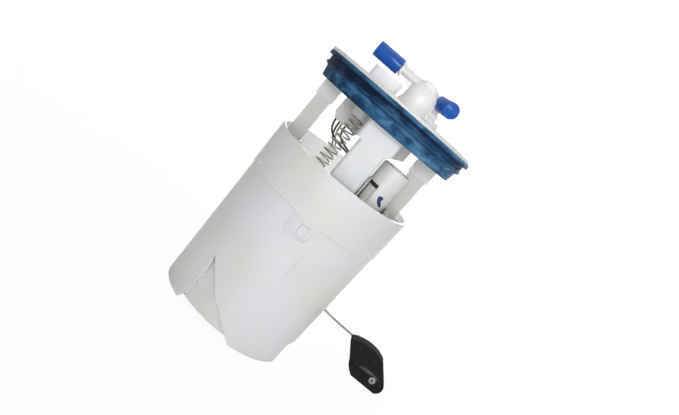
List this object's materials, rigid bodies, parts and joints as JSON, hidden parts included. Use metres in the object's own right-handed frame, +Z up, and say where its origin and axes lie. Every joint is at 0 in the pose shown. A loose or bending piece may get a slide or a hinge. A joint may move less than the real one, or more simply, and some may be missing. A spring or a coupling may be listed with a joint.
{
  "type": "fuel pump module",
  "caption": "In-tank fuel pump module: round sealed flange sprung on guide legs above a fuel reservoir with pump, regulator, level sender and float.",
  "frame": {"origin": "centre of the reservoir's base, on the face it stands on", "axes": "+Z up through the flange, +X towards the float, -Y towards the viewer of the picture"},
  "size_m": [0.2076, 0.1342, 0.23],
  "materials": {
    "translucent_white": "satin",
    "white_plastic": "satin",
    "natural_nylon": "matt",
    "blue_rubber": "satin",
    "blue_cap": "gloss",
    "black_rubber": "matt",
    "black_plastic": "satin",
    "float_rubber": "matt",
    "steel_wire": "bright",
    "pump_steel": "plated",
    "aluminium": "cast",
    "carbon": "matt",
    "ferrite": "matt",
    "laminations": "stacked",
    "copper": "bright",
    "bronze": "sintered",
    "terminal_metal": "plated",
    "ceramic": "matt",
    "filter_paper": "pleated",
    "strainer_mesh": "woven",
    "black_wire": "satin",
    "green_wire": "satin",
    "dark_nylon": "satin"
  },
  "bodies": {
    "reservoir_unit": {"reservoir": "translucent_white", "upper_collar": "translucent_white", "inlet_strainer": "strainer_mesh", "foot_valve_flap": "black_rubber", "jet_mixing_tube": "natural_nylon", "jet_nozzle": "natural_nylon", "pump_holder": "natural_nylon", "spring_post": "natural_nylon", "pump_can": "pump_steel", "pump_inlet_cover": "aluminium", "lower_bush": "bronze", "pump_channel_plate": "aluminium", "field_magnets": "ferrite", "brushes": "carbon", "pump_outlet_cover": "black_plastic", "upper_bush": "bronze", "isolator_boot": "black_rubber", "regulator_housing": "white_plastic", "pressure_regulator": "pump_steel", "regulator_seal": "black_rubber", "pump_plug": "black_plastic", "fuel_hose": "natural_nylon", "flange_spring": "steel_wire", "sender_housing": "natural_nylon", "resistor_card": "ceramic", "sender_plug": "black_plastic", "pump_wire_front": "black_wire", "pump_wire_rear": "black_wire", "sender_wire_dark": "black_wire", "sender_wire_green": "green_wire"},
    "flange_unit": {"flange_plate": "white_plastic", "tank_seal": "blue_rubber", "left_guide_leg": "natural_nylon", "right_guide_leg": "natural_nylon", "filter_housing": "translucent_white", "filter_element": "filter_paper", "filter_bottom_cap": "translucent_white", "connector_terminals": "terminal_metal", "connector_shroud": "white_plastic", "outlet_tower": "white_plastic", "riser_elbow": "white_plastic"},
    "pump_armature": {"armature_shaft": "steel_wire", "armature_core": "laminations", "armature_windings": "copper", "commutator": "copper", "impeller": "dark_nylon"},
    "float_arm_unit": {"float_arm": "steel_wire", "float_arm_hub": "natural_nylon", "wiper": "copper", "float_push_nut": "steel_wire"},
    "float_unit": {"float": "float_rubber"},
    "side_cap": {"side_nipple_cap": "blue_cap"},
    "front_cap": {"front_nipple_cap": "blue_cap"}
  },
  "joints": [
    {"name": "flange_slide", "type": "slide", "parent": "reservoir_unit", "child": "flange_unit", "axis": [0, 0, 1], "range_m": [-0.03, 0], "stiffness_N_per_m": 300, "springref_m": 0.04, "deforming": ["flange_spring", "fuel_hose", "pump_wire_front", "pump_wire_rear", "sender_wire_dark", "sender_wire_green"]},
    {"name": "float_arm_swing", "type": "hinge", "parent": "reservoir_unit", "child": "float_arm_unit", "pos_m": [-0.01, 0.067, 0.044], "axis": [0, -1, 0], "range_deg": [0, 48]},
    {"name": "float_swivel", "type": "hinge", "parent": "float_arm_unit", "child": "float_unit", "pos_m": [0.1304, 0.057, 0.0173], "axis": [0, -1, 0], "range_deg": [-25, 0]},
    {"name": "armature_spin", "type": "hinge", "parent": "reservoir_unit", "child": "pump_armature", "pos_m": [0.0272, -0.01, 0.07], "axis": [0, 0, 1], "continuous": true},
    {"name": "side_cap_pull", "type": "slide", "parent": "flange_unit", "child": "side_cap", "axis": [-1, 0, 0], "range_m": [0, 0.025]},
    {"name": "front_cap_pull", "type": "slide", "parent": "flange_unit", "child": "front_cap", "axis": [0.4226, -0.9063, 0], "range_m": [0, 0.02]}
  ]
}
